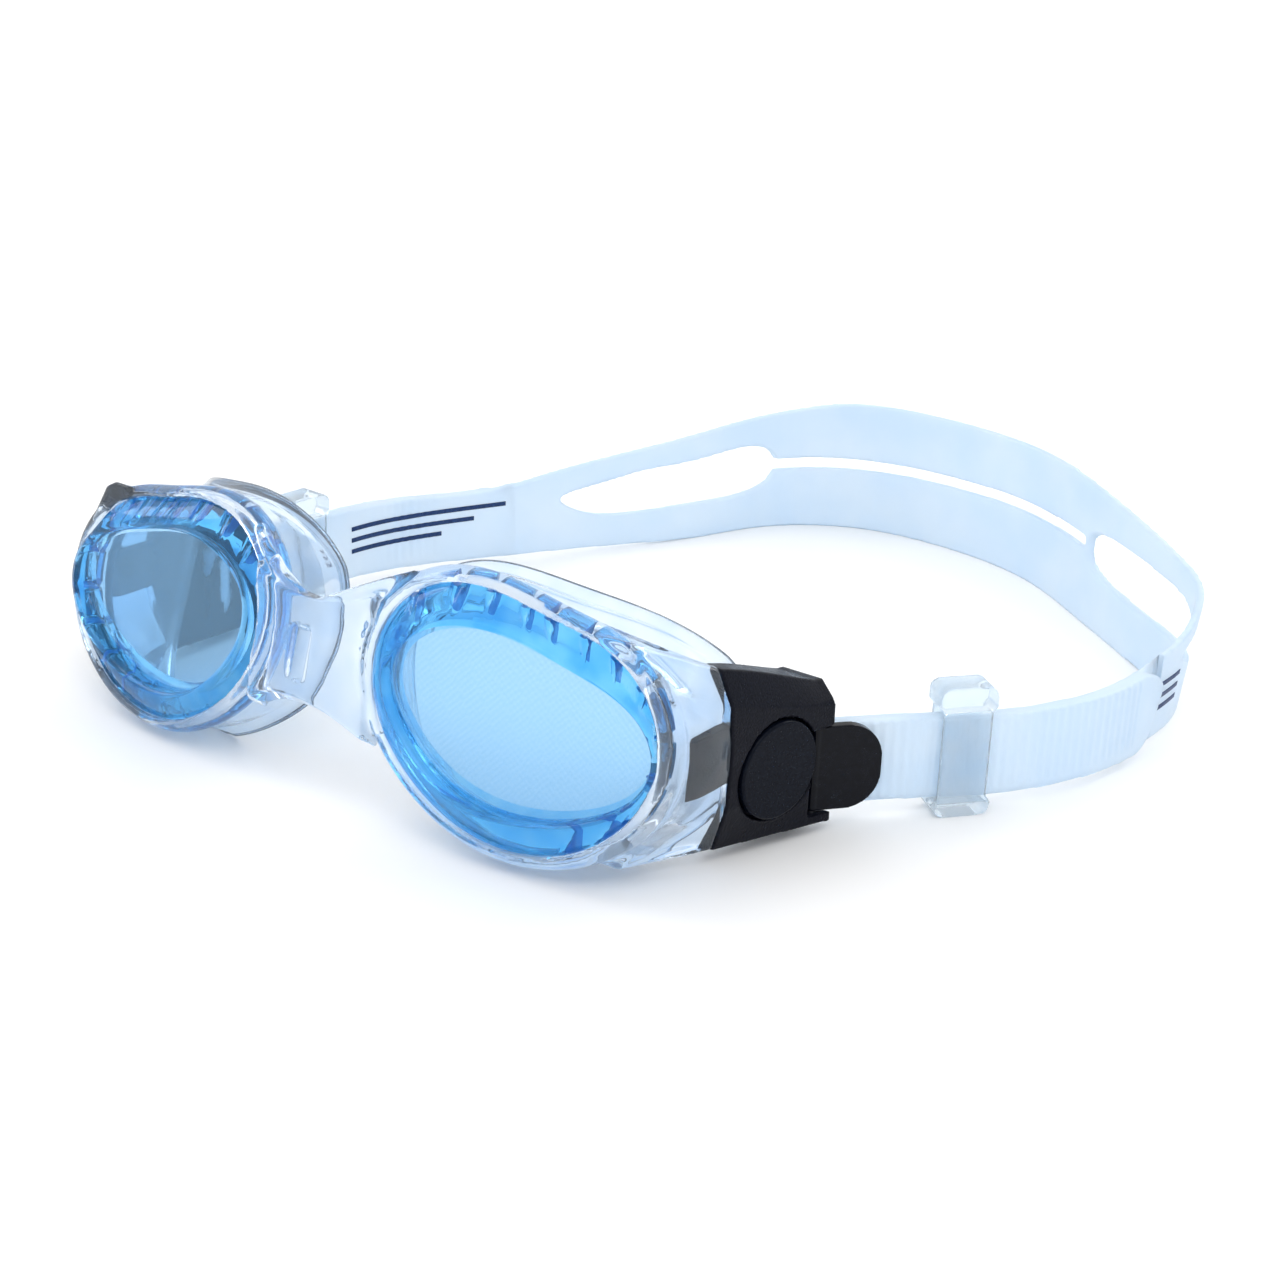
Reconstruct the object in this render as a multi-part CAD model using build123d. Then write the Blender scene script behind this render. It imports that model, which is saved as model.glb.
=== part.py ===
from build123d import *
import os
from math import atan2, cos, radians, sin

# Adult swim goggles standing on a table, in millimetres.
# X runs across the face, Y runs from the lenses back to the strap, Z is up and the table is Z = 0.
# Each eye's pieces are drawn for the wearer's left (+X) and mirrored for the right.

# ---- eye cups
EYE_X = 42.2            # centre of a lens window, from the nose
EYE_Z = 25.8            # height of that centre above the table
EYE_YAW = 8.5           # each lens faces a little outward
WINDOW_PITCH = 4.0      # top of the window leans back
CUP_PITCH = 12.0        # the rim and the seal lean back further
WINDOW_THICK = 2.2
RIM_FRONT = 1.8         # lens rim in front of the cup plane
RIM_BACK = 3.2          # lens rim behind it
RIM_BEVEL = 1.5
WALL = 2.3              # clear frame wall round the lens rim
CUP_DEPTH = 5.2         # back of the clear frame, behind the cup plane
LEDGE = 1.8             # lip of the frame behind the lens rim
SEAL_WALL = 1.5
SEAL_TUCK = 1.2         # seal starts inside the edge of the frame
SEAL_REACH = 34.0       # depth of the cone that the seal is cut from

# ---- nose bridge
BRIDGE_HALF = 14.0

# ---- temple joint and buckle
JOINT_Y = 21.5
BUCKLE_REAR_Y = 47.0
BUCKLE_BOTTOM = 2.2
BUCKLE_YAW = 10.9       # outer face of the buckle flares outward
BUTTON_AT = (75.45, 33.5, 16.0)
BUTTON_RADIUS = 9.2
BUTTON_THICK = 1.7
BUTTON_PROUD = 0.6
BUTTON_TRAVEL = 0.8
SPRING_RADIUS = 1.9
SPRING_WIRE = 0.25
SPRING_HEIGHT = 2.0
ROLLER_AT = (70.0, 40.2)
ROLLER_RADIUS = 1.1
ROLLER_YAW = 6.0
TRUNNION_RADIUS = 0.7
PIN_AT = (75.6, 45.0)
PIN_RADIUS = 0.65
LEVER_THICK = 2.1
LEVER_LENGTH = 12.6
LEVER_BOTTOM = 4.3
LEVER_HEIGHT = 16.4
FIT = 0.05              # running clearance of pins and trunnions
GAP = 0.3               # clearance of loose neighbours

# ---- strap
STRAP_THICK = 1.6
STRAP_WIDTH = 16.0
STRAP_FULL = 35.0       # height of the blank that the split strap is cut from
STRAP_START_Z = 4.0     # lower edge of the strap at the buckles
STRAP_REST_Y = 160.0    # from here back the lower edge lies on the table
MAIN_INSET = 4.6        # main layer inside the lever pin
STRAIGHT_FROM = 2.0     # the strap runs straight from here, behind the lever pin
TAIL_LIFT = 1.9         # tail outside the main layer
TURN_RADIUS = ROLLER_RADIUS + 0.2 + STRAP_THICK / 2
TAIL_END_Y = 119.0
SLIT = 2.4
STEP = 3.0              # spacing of the points that its faces are drawn through
LOOP_RUNS = 6           # lengths that the loop is built in

# ---- keeper loops
KEEPER_LENGTH = 11.0
KEEPER_HEIGHT = 25.4
KEEPER_WALL = 1.5
KEEPER_BOTTOM = 0.0

# The wearer's left strap leaves its buckle flared out, the right one runs nearly straight back.
SIDES = {
    "left": {"hand": 1, "exit_yaw": 38.0, "straight_to": 36.0, "keeper_at": 29.5},
    "right": {"hand": -1, "exit_yaw": -3.0, "straight_to": 34.0, "keeper_at": 20.5},
}

# Middle of the main strap layer from the wearer's left to the right: x, y and how far its top leans out.
LOOP = [
    (99.4, 86.0, 0.0), (103.4, 98.0, 0.0), (104.8, 114.0, 1.5), (104.0, 131.0, 3.6),
    (99.5, 144.5, 4.2), (90.0, 154.0, 4.5), (77.0, 164.5, 3.6), (62.9, 175.2, 2.5),
    (41.3, 190.2, 1.0), (15.0, 197.0, 0.0), (-9.0, 194.0, 0.0), (-25.5, 180.0, 0.0),
    (-34.5, 159.0, 0.0), (-45.0, 139.0, 0.0), (-57.3, 113.8, 0.0),
]

# Upper edge of the strap: how far back and how high, on each side of the loop's rearmost point.
LOOP_BACK_X = 15.0
TOP_EDGE = {
    "left": [(100, 18.2), (114, 18.6), (124, 20.0), (134, 21.8), (142, 24.6), (158, 27.5), (175, 30.2), (198, 31.6)],
    "right": [(100, 18.2), (113, 18.0), (125, 20.0), (141, 22.8), (159, 25.7), (175, 27.8), (185, 29.4), (198, 31.6)],
}
# The two openings between the strap's upper and lower bands: lower side, then upper side back again.
OPENINGS = {
    "left": [(132, 15.5), (140, 12.5), (151, 11.8), (166, 11.6), (177, 16.2),
             (177, 18.6), (166, 21.7), (151, 21.0), (140, 18.6)],
    "right": [(129.5, 13.0), (136, 9.6), (147, 8.6), (163, 9.0), (181, 14.7),
              (181, 17.1), (163, 19.8), (147, 18.4), (136, 16.0)],
}
SLIT_ENDS = [(-26.0, 15.9), (61.0, 17.4)]


# ------------------------------------------------------------------ eye cups

def oval(half_width, half_height, square, lean, egg, droop, shift=(0, 0), points=20):
    """Closed spline round an ellipse whose radius swells and shrinks with the angle."""
    ring = []
    for i in range(points):
        t = radians(360 * i / points)
        swell = 1 + square * cos(2 * t) + lean * sin(2 * t) + egg * cos(3 * t) + droop * sin(3 * t)
        ring.append((shift[0] + half_width * swell * cos(t), shift[1] + half_height * swell * sin(t)))
    return make_face(Spline(ring, periodic=True))


def window_face(grow=0.0):
    return oval(24.1 + grow, 16.2 + grow, 0.047, -0.081, 0.045, 0.030)


def rim_face(grow=0.0):
    return oval(26.2 + grow, 25.1 + grow, 0.125, -0.075, 0.023, 0.035, (-0.3, 0.5))


def seal_face(grow=0.0):
    return oval(35.0 + grow, 30.0 + grow, -0.02, -0.03, 0.046, 0.026, (-2.4, -0.4))


def eye_plane(pitch, depth=0.0):
    """Plane across an eye cup: x toward the temple, y up, z forward out of the lens."""
    yaw = radians(EYE_YAW)
    tilt = radians(pitch)
    forward = Vector(sin(yaw) * cos(tilt), -cos(yaw) * cos(tilt), sin(tilt))
    origin = Vector(EYE_X, 0, EYE_Z) - forward * depth
    return Plane(origin=origin, x_dir=(cos(yaw), sin(yaw), 0), z_dir=forward)


def prism(pitch, front, back, face):
    """Solid from a face drawn on the eye plane, between two depths behind it."""
    return extrude(eye_plane(pitch, back) * face, amount=back - front)


def lens():
    """Flat window and the thick rounded rim round it, in one piece."""
    rim = prism(CUP_PITCH, -RIM_FRONT, RIM_BACK, rim_face())
    forward = Axis((EYE_X, 0, EYE_Z), eye_plane(CUP_PITCH).z_dir)
    rim = chamfer(rim.faces().sort_by(forward)[-1].edges(), RIM_BEVEL)
    rim -= prism(CUP_PITCH, -20, 20, window_face(-0.2))
    return rim + prism(WINDOW_PITCH, 0, WINDOW_THICK, window_face(1.2))


def seal_cone(inset):
    front = eye_plane(CUP_PITCH, CUP_DEPTH) * rim_face(-SEAL_TUCK - inset)
    back = eye_plane(CUP_PITCH, SEAL_REACH) * seal_face(-inset)
    return loft([front, back], ruled=True)


def face_side():
    """Everything in front of the wearer's face: deep at the temple, shallow above and below the eye."""
    curve = [(u, -(10.0 + 0.012 * u * u + 0.2 * u)) for u in (-44, -22, 0, 22, 42)]
    roof = Polyline((42, curve[-1][1]), (42, 6), (-44, 6), (-44, curve[0][1]))
    plane = eye_plane(CUP_PITCH)
    side = Plane(origin=plane.origin, x_dir=plane.x_dir, z_dir=-plane.y_dir)
    return extrude(side * make_face([Spline(curve), roof]), amount=45, both=True)


def face_seal():
    """Soft flared skirt between the frame and the face."""
    return (seal_cone(0) - seal_cone(SEAL_WALL)) & face_side()


# ------------------------------------------------------------------ clear front frame

def section(y, corners):
    return make_face(Plane.XZ.offset(-y) * Polyline(*corners, close=True))


def joint_section(y=JOINT_Y, grow=0.0):
    """Cross-section of the temple where the clear frame ends and the buckle starts."""
    outer = [(70.4, 3.0), (73.0, 11.5), (73.6, 22.0), (73.1, 31.0), (70.1, 37.2)]
    inner = [(66.0, 37.2), (70.1, 30.5), (70.1, 12.5), (66.0, 3.0)]
    return section(y, [(x + grow, z) for x, z in outer] + inner)


def wing():
    """Clear temple piece that runs back to the buckle."""
    outer = [(62.0, 2.6), (68.5, 10.0), (70.9, 21.0), (69.6, 34.0), (63.0, 45.0)]
    inner = [(57.0, 45.0), (60.0, 34.0), (60.0, 10.0), (57.0, 2.6)]
    return loft([section(5.0, outer + inner), joint_section()], ruled=True)


def bridge():
    """Slanted web over the nose, its lower edge further forward than its upper one."""
    middle = [(-2.5, 39.5), (-5.5, 39.8), (-10.0, 22.5), (-6.5, 19.5)]
    end = [(-0.5, 42.5), (-4.0, 43.0), (-7.5, 17.0), (-2.5, 13.5)]
    faces = []
    for x, corners in ((-BRIDGE_HALF, end), (0, middle), (BRIDGE_HALF, end)):
        faces.append(make_face(Plane.YZ.offset(x) * Polyline(*corners, close=True)))
    web = loft(faces)
    pocket = Plane(origin=(0, -8.6, 30.0), x_dir=(1, 0, 0), z_dir=(0, -0.967, 0.255))
    return web - extrude(pocket * RectangleRounded(4.4, 10.0, 0.8), amount=1.2, both=True)


def cup_wall():
    """Clear wall round one lens rim, bulging half way back."""
    layers = [(-0.8, 0.5), (1.6, WALL), (CUP_DEPTH, 1.2)]
    return loft([eye_plane(CUP_PITCH, depth) * rim_face(grow) for depth, grow in layers])


def tongue(clearance=0.0):
    """Barbed catch of the buckle that snaps into the clear frame."""
    c = clearance
    plan = [(69.6 - c, 22.5), (69.6 - c, 12.6 - c), (70.8, 10.6 - c), (72.0 + c, 12.6 - c), (72.4 + c, 22.5)]
    return extrude(Plane.XY.offset(16.9 - c) * make_face(Polyline(*plan, close=True)), amount=10.4 + 2 * c)


def front_frame():
    halves = []
    for hand in (1, -1):
        half = cup_wall() + wing()
        half -= prism(CUP_PITCH, -20, RIM_BACK + FIT, rim_face(FIT))
        half -= prism(CUP_PITCH, RIM_BACK, CUP_DEPTH, rim_face(-LEDGE))
        half -= seal_cone(-FIT)
        half -= tongue(FIT)
        halves.append(half if hand == 1 else mirror(half, Plane.YZ))
    web = bridge()
    for hand in (1, -1):
        hollow = prism(CUP_PITCH, -20, CUP_DEPTH, rim_face(FIT)) + seal_cone(-FIT)
        web -= hollow if hand == 1 else mirror(hollow, Plane.YZ)
    return halves[0] + web + halves[1]


# ------------------------------------------------------------------ buckle

def along(yaw):
    """Unit vectors in plan: along a piece that points back at this yaw, and outward from it."""
    turn = radians(yaw)
    return Vector(sin(turn), cos(turn)), Vector(cos(turn), -sin(turn))


def from_pin(yaw, outward, back):
    ahead, out = along(yaw)
    return Vector(*PIN_AT) + out * outward + ahead * back


def upright(points, bottom, top):
    """Prism over a plan outline."""
    outline = Polyline(*[(p.X, p.Y) for p in points], close=True)
    return extrude(Plane.XY.offset(bottom) * make_face(outline), amount=top - bottom)


def button_plane(depth=0.0):
    out = along(BUCKLE_YAW)[1]
    return Plane(origin=Vector(*BUTTON_AT) - out * depth, x_dir=(0, 0, 1), z_dir=out)


def button_hole():
    depth = BUTTON_THICK - BUTTON_PROUD + BUTTON_TRAVEL + FIT
    bore = extrude(button_plane(depth) * Circle(BUTTON_RADIUS + GAP), amount=8)
    seat = extrude(button_plane(depth + 1.4) * Circle(SPRING_RADIUS + SPRING_WIRE + GAP), amount=4)
    return bore + seat


def strap_slot(yaw):
    """Space for the strap's two layers and the turn between them."""
    reach = TURN_RADIUS + STRAP_THICK / 2 + GAP
    ahead, out = along(ROLLER_YAW)
    roller = Vector(*ROLLER_AT)
    bottom = STRAP_START_Z - GAP
    top = STRAP_START_Z + STRAP_WIDTH + GAP
    turn = extrude(Pos(*ROLLER_AT, bottom) * Circle(reach), amount=top - bottom)
    inner = from_pin(yaw, -MAIN_INSET - STRAP_THICK / 2 - 2 * GAP, 10)
    outer = from_pin(yaw, 0, 10)
    near, far = roller - out * reach, roller + out * reach
    mouth = [near, near + ahead * 4, inner, outer, Vector(*PIN_AT), far]
    return turn + upright(mouth, bottom, top)


def lever_recess(yaw):
    """Opening at the rear outer corner in which the lever swings."""
    corners = [(-2.0, -1.7), (8.0, -1.7), (8.0, 20.0), (-2.0, 20.0)]
    side = [from_pin(yaw, out, back) for out, back in corners]
    return upright(side, LEVER_BOTTOM - GAP, LEVER_BOTTOM + LEVER_HEIGHT + GAP)


def buckle_body(yaw):
    """Black housing: hook, button pocket, strap slot and lever recess."""
    outer = [(78.6, BUCKLE_BOTTOM), (78.5, 12.0), (78.4, 18.0), (78.2, 24.8), (75.0, 31.2)]
    inner = [(66.5, 31.2), (65.6, 27.0), (65.6, 9.0), (66.5, BUCKLE_BOTTOM)]
    body = loft([joint_section(JOINT_Y + FIT), section(BUCKLE_REAR_Y, outer + inner)], ruled=True)
    body += tongue()
    body -= seal_cone(-GAP)
    body -= button_hole()
    body -= strap_slot(yaw)
    body -= lever_recess(yaw)
    top = LEVER_BOTTOM + LEVER_HEIGHT
    body -= extrude(Pos(*PIN_AT, 0) * Circle(PIN_RADIUS), amount=top + 2.4)
    for bottom in (STRAP_START_Z - GAP - 0.8, STRAP_START_Z + STRAP_WIDTH):
        body -= extrude(Pos(*ROLLER_AT, bottom) * Circle(TRUNNION_RADIUS + FIT), amount=2.2)
    return body


def release_button():
    cap = extrude(button_plane(BUTTON_THICK - BUTTON_PROUD) * Circle(BUTTON_RADIUS), amount=BUTTON_THICK)
    out = Axis(BUTTON_AT, along(BUCKLE_YAW)[1])
    return fillet(cap.faces().sort_by(out)[-1].edges(), 0.5)


def button_spring():
    """Coil that pushes the button back out."""
    turns = 3
    pitch = (SPRING_HEIGHT - 2 * SPRING_WIRE) / turns
    path = Helix(pitch, pitch * turns, SPRING_RADIUS)
    wire = sweep(Plane(origin=path @ 0, z_dir=path % 0) * Circle(SPRING_WIRE), path)
    return button_plane(BUTTON_THICK - BUTTON_PROUD + SPRING_HEIGHT - SPRING_WIRE + 0.02) * wire


def strap_lever(yaw):
    """Rounded lever that lies on the strap and swings on its pin."""
    ahead, out = along(yaw)
    middle = LEVER_BOTTOM + LEVER_HEIGHT / 2
    half = LEVER_HEIGHT / 2
    round_end = 6.8
    flat = LEVER_LENGTH - round_end
    outline = [
        Line((0, -half), (flat, -half)),
        RadiusArc((flat, -half), (LEVER_LENGTH, -half + round_end), -round_end),
        Line((LEVER_LENGTH, -half + round_end), (LEVER_LENGTH, half - round_end)),
        RadiusArc((LEVER_LENGTH, half - round_end), (flat, half), -round_end),
        Line((flat, half), (0, half)),
        Line((0, half), (0, -half)),
    ]
    plane = Plane(origin=(*PIN_AT, middle), x_dir=ahead, z_dir=out)
    plate = extrude(plane * make_face(outline), amount=LEVER_THICK / 2, both=True)
    barrel = extrude(Pos(*PIN_AT, LEVER_BOTTOM) * Circle(1.25), amount=LEVER_HEIGHT)
    bore = extrude(Pos(*PIN_AT, 0) * Circle(PIN_RADIUS + FIT), amount=40)
    return plate + barrel - bore


def lever_pin():
    top = LEVER_BOTTOM + LEVER_HEIGHT + 2.3
    return extrude(Pos(*PIN_AT, BUCKLE_BOTTOM + 0.1) * Circle(PIN_RADIUS), amount=top - BUCKLE_BOTTOM - 0.1)


def strap_roller():
    low = STRAP_START_Z - GAP
    barrel = extrude(Pos(*ROLLER_AT, low + 0.15) * Circle(ROLLER_RADIUS), amount=STRAP_WIDTH + GAP)
    axle = extrude(Pos(*ROLLER_AT, low - 0.6) * Circle(TRUNNION_RADIUS), amount=STRAP_WIDTH + 2.6)
    return barrel + axle


# ------------------------------------------------------------------ strap and keepers

def side_point(side, inset, back):
    p = from_pin(side["exit_yaw"], -inset, back)
    return Vector(side["hand"] * p.X, p.Y)


def side_ahead(side, yaw):
    ahead = along(yaw)[0]
    return Vector(side["hand"] * ahead.X, ahead.Y)


def turn_point(side, outward):
    p = Vector(*ROLLER_AT) + along(ROLLER_YAW)[1] * outward
    return Vector(side["hand"] * p.X, p.Y)


def lead_in(side, start, inset):
    """Path from the roller, round the bend and straight along under the lever."""
    a = side_point(side, inset, STRAIGHT_FROM)
    b = side_point(side, inset, side["straight_to"])
    ends = [side_ahead(side, ROLLER_YAW), side_ahead(side, side["exit_yaw"])]
    bend = Spline(start, a, tangents=ends)
    return [bend, Line(a, b)]


def main_leads():
    """The main layer's two ends, each running back from its roller."""
    return [lead_in(side, turn_point(side, -TURN_RADIUS), MAIN_INSET) for side in SIDES.values()]


def loop_curve(lean):
    """The main layer between its straight ends, left to right; lean 1 gives its upper edge."""
    first, last = main_leads()
    middle = []
    for x, y, top in LOOP:
        angle = atan2(y - 110, x - 18)
        middle.append((x + lean * top * cos(angle), y + lean * top * sin(angle)))
    points = [first[1] @ 1] + middle + [last[1] @ 1]
    ends = [first[1] % 1, (last[1] % 1) * -1]
    return Spline(*points, tangents=ends, tangent_scalars=(1, 1))


def loop_path(lean):
    """All curves of the main layer in order."""
    first, last = main_leads()
    curve = loop_curve(lean)
    runs = [curve.trim(i / LOOP_RUNS, (i + 1) / LOOP_RUNS) for i in range(LOOP_RUNS)]
    return first + runs + last


def band(path):
    """Thin face of the strap's thickness along one curve."""
    steps = max(4, int(path.length / STEP))
    edges = []
    for offset in (-STRAP_THICK / 2, STRAP_THICK / 2):
        points = []
        for i in range(steps + 1):
            ahead = path % (i / steps)
            points.append(path @ (i / steps) + Vector(ahead.Y, -ahead.X) * offset)
        edges.append(Spline(*points))
    near, far = edges
    return make_face([near, far, Line(near @ 1, far @ 1), Line(far @ 0, near @ 0)])


def upright_band(low_path, high_path):
    """Strip of strap standing on edge between the curves of its lower and upper edges."""
    strips = []
    for low, high in zip(low_path, high_path):
        strips.append(loft([band(low), Pos(0, 0, STRAP_FULL) * band(high)], ruled=True))
    return strips[0].fuse(*strips[1:])


def fraction_at(path, reach_y, reverse):
    """How far along a curve it first gets this far back, from either end."""
    u = 0.0
    while (path @ (1 - u if reverse else u)).Y < reach_y:
        u += 0.001
    return 1 - u if reverse else u


def tail_path(side, lean):
    """Outer layer: from the roller, under the lever and back outside the main layer."""
    reverse = side["hand"] < 0
    lead = lead_in(side, turn_point(side, TURN_RADIUS), MAIN_INSET - TAIL_LIFT)
    path = loop_curve(lean)
    straight = from_pin(side["exit_yaw"], 0, side["straight_to"]).Y
    first = fraction_at(path, straight + 8, reverse)
    last = fraction_at(path, TAIL_END_Y, reverse)
    points = [lead[1] @ 1]
    for i in range(5):
        u = first + (last - first) * i / 4
        ahead = path % u
        points.append(path @ u + Vector(ahead.Y, -ahead.X) * TAIL_LIFT)
    ends = [lead[1] % 1, (path % last) * side["hand"]]
    return lead + [Spline(*points, tangents=ends, tangent_scalars=(1, 1))]


def tail(side):
    """Outer layer and the half turn round the roller."""
    layer = upright_band(tail_path(side, 0), tail_path(side, 1))
    ring = Circle(TURN_RADIUS + STRAP_THICK / 2) - Circle(TURN_RADIUS - STRAP_THICK / 2)
    half = ring & (Pos(0, -5) * Rectangle(20, 10))
    turn = Pos(*ROLLER_AT) * extrude(Rot(0, 0, -ROLLER_YAW) * half, amount=STRAP_FULL)
    return layer + (turn if side["hand"] > 0 else mirror(turn, Plane.YZ))


def side_profile(name):
    """The strap seen from the side: level band near the buckle, full height at the back."""
    top = [(50, STRAP_START_Z + STRAP_WIDTH)] + TOP_EDGE[name]
    lead = Line((30, top[0][1]), top[0])
    edge = Spline(*top, tangents=[(1, -0.02), (1, 0.0)])
    under = Polyline(top[-1], (205, top[-1][1]), (205, 0), (STRAP_REST_Y, 0), (50, STRAP_START_Z),
                     (30, STRAP_START_Z), (30, top[0][1]))
    slab = extrude(Plane.YZ.offset(LOOP_BACK_X) * make_face([lead, edge, under]), amount=120)
    return slab if name == "left" else mirror(slab, Plane.YZ.offset(LOOP_BACK_X))


def opening(name):
    hand = SIDES[name]["hand"]
    outline = Spline(*OPENINGS[name], periodic=True)
    hole = extrude(Plane.YZ.offset(LOOP_BACK_X) * make_face(outline), amount=120)
    return hole if hand > 0 else mirror(hole, Plane.YZ.offset(LOOP_BACK_X))


def slit():
    (x1, z1), (x2, z2) = SLIT_ENDS
    h = SLIT / 2
    outline = Polyline((x1, z1 - h), (x2, z2 - h), (x2, z2 + h), (x1, z1 + h), close=True)
    return extrude(Plane.XZ.offset(-160) * make_face(outline), amount=-60)


def head_strap():
    """One moulded strap: split back, plain sides, and each end folded back outside as a tail."""
    body = upright_band(loop_path(0), loop_path(1))
    for side in SIDES.values():
        body += tail(side)
    outline = side_profile("left") + side_profile("right")
    for name in SIDES:
        outline -= opening(name)
    return body & (outline - slit())


def keeper(side):
    """Clear sleeve over both layers of the strap."""
    yaw = side["exit_yaw"]
    ahead, out = along(yaw)
    inner_low = -MAIN_INSET - STRAP_THICK / 2 - GAP
    inner_high = -MAIN_INSET + TAIL_LIFT + STRAP_THICK / 2 + GAP
    middle = (inner_low + inner_high) / 2
    at = from_pin(yaw, middle, side["keeper_at"])
    z = KEEPER_BOTTOM + KEEPER_HEIGHT / 2
    block = Plane(origin=(at.X, at.Y, z), x_dir=ahead, z_dir=out)
    thick = inner_high - inner_low
    sleeve = Box(KEEPER_LENGTH, KEEPER_HEIGHT, thick + 2 * KEEPER_WALL)
    sleeve = fillet(sleeve.edges().filter_by(Axis.Z), 2.0)
    hollow_z = STRAP_START_Z - 0.8 + STRAP_WIDTH / 2 - z
    hollow = Pos(0, hollow_z, 0) * Box(KEEPER_LENGTH + 2, STRAP_WIDTH + 2.4, thick)
    return block * (sleeve - hollow)


# ------------------------------------------------------------------ the whole object

def side_pieces(name):
    side = SIDES[name]
    yaw = side["exit_yaw"]
    pieces = {
        "lens": lens(),
        "face_seal": face_seal(),
        "buckle_body": buckle_body(yaw),
        "release_button": release_button(),
        "button_spring": button_spring(),
        "strap_lever": strap_lever(yaw),
        "lever_pin": lever_pin(),
        "strap_roller": strap_roller(),
        "keeper": keeper(side),
    }
    if side["hand"] < 0:
        pieces = {key: mirror(solid, Plane.YZ) for key, solid in pieces.items()}
    return {f"{name}_{key}": solid for key, solid in pieces.items()}


def assemble():
    """All pieces by name, moved so that the middle of the object's base is the origin."""
    pieces = {"front_frame": front_frame(), "head_strap": head_strap()}
    for name in SIDES:
        pieces.update(side_pieces(name))
    boxes = [solid.bounding_box() for solid in pieces.values()]
    low = [min(getattr(box.min, axis) for box in boxes) for axis in "XYZ"]
    high = [max(getattr(box.max, axis) for box in boxes) for axis in "XYZ"]
    shift = Pos(-(low[0] + high[0]) / 2, -(low[1] + high[1]) / 2, -low[2])
    return {name: shift * solid for name, solid in pieces.items()}, shift


def main():
    os.makedirs("parts", exist_ok=True)
    pieces, shift = assemble()
    for name, solid in pieces.items():
        export_step(solid, os.path.join("parts", name + ".step"))
    print("moved by", shift.position)


main()
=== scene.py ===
from math import cos, pi, radians, sin, sqrt

import bmesh
import bpy
import numpy as np
from mathutils import Matrix, Vector
from mathutils.bvhtree import BVHTree
from mathutils.kdtree import KDTree

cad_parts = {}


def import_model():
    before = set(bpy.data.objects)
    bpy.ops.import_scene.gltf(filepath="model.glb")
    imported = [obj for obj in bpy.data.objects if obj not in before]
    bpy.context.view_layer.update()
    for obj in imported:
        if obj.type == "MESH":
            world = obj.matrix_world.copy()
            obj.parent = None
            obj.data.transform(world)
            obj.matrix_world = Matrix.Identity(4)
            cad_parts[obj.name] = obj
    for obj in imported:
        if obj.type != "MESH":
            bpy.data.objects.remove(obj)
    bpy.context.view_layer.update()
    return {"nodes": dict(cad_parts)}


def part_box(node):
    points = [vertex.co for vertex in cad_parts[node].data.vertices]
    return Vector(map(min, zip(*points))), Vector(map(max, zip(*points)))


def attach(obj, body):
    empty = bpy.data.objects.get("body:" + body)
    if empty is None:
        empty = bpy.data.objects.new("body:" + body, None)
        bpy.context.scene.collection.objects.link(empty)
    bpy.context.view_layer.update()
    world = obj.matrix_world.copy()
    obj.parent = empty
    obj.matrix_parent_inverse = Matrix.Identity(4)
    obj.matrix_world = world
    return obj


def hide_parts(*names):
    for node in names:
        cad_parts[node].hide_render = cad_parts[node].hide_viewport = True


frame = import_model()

scene = bpy.context.scene
MM = 0.001
BODY = "goggles"

# ------------------------------------------------------------------ where things are
# Shapes are in millimetres from the nose: X to the wearer's left, Y back, Z up from the table.
# They are drawn for the wearer's left side, and hand, 1 or -1, mirrors them for the right.
JOINT_Y = 21.5                  # where the clear frame ends and the buckles start
FRAME_LOW, FRAME_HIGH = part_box("front_frame")
ORIGIN = np.array(Vector(((FRAME_LOW.x + FRAME_HIGH.x) / 2, FRAME_HIGH.y - JOINT_Y * MM, 0)))
SIDES = {"left": {"hand": 1, "exit_yaw": 38.0}, "right": {"hand": -1, "exit_yaw": -3.0}}

EYE_X, EYE_Z, EYE_YAW = 42.2, 25.8, 8.5
WINDOW_PITCH, CUP_PITCH = 4.0, 12.0
WINDOW_THICK = 2.2
CUP_DEPTH, SEAL_REACH = 5.2, 34.0

BUTTON_AT = (75.45, 33.5, 16.0)
BUTTON_RADIUS = 9.2
BUCKLE_YAW = 10.9
PIN = Vector((75.6, 45.0, 0))
MAIN_INSET = 4.6                # main layer of the strap inside the lever pin
TAIL_LIFT = 1.9                 # tail outside the main layer
TAIL_END_Y = 119.0
STRAP_MIDDLE_Z = 12.0           # mid-height of the strap beside the buckles


def world(points):
    """Frame positions of millimetre points."""
    return np.asarray(points, float) * MM + ORIGIN


def along(yaw):
    """Unit vectors in plan: along a piece that points back at this yaw, and outward from it."""
    turn = radians(yaw)
    return Vector((sin(turn), cos(turn), 0)), Vector((cos(turn), -sin(turn), 0))


# ------------------------------------------------------------------ camera

CAMERA_AT = (284.4, -296.8, 194.5)
CAMERA_RIGHT = Vector((0.79951, 0.59946, 0.03779))
CAMERA_UP = Vector((-0.24998, 0.27489, 0.92841))
CAMERA_LENS = 68.855


def add_camera():
    data = bpy.data.cameras.new("camera")
    data.lens = CAMERA_LENS
    data.sensor_width = 36.0
    data.clip_start = 0.01
    camera = bpy.data.objects.new("camera", data)
    scene.collection.objects.link(camera)
    axes = Matrix((CAMERA_RIGHT, CAMERA_UP, CAMERA_RIGHT.cross(CAMERA_UP))).transposed().to_4x4()
    camera.matrix_world = Matrix.Translation(world(CAMERA_AT)) @ axes
    scene.camera = camera


# ------------------------------------------------------------------ materials

SOCKETS = {"rough": "Roughness", "metal": "Metallic", "ior": "IOR", "clear": "Transmission Weight",
           "coat": "Coat Weight", "coat_rough": "Coat Roughness", "spec": "Specular IOR Level"}


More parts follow.
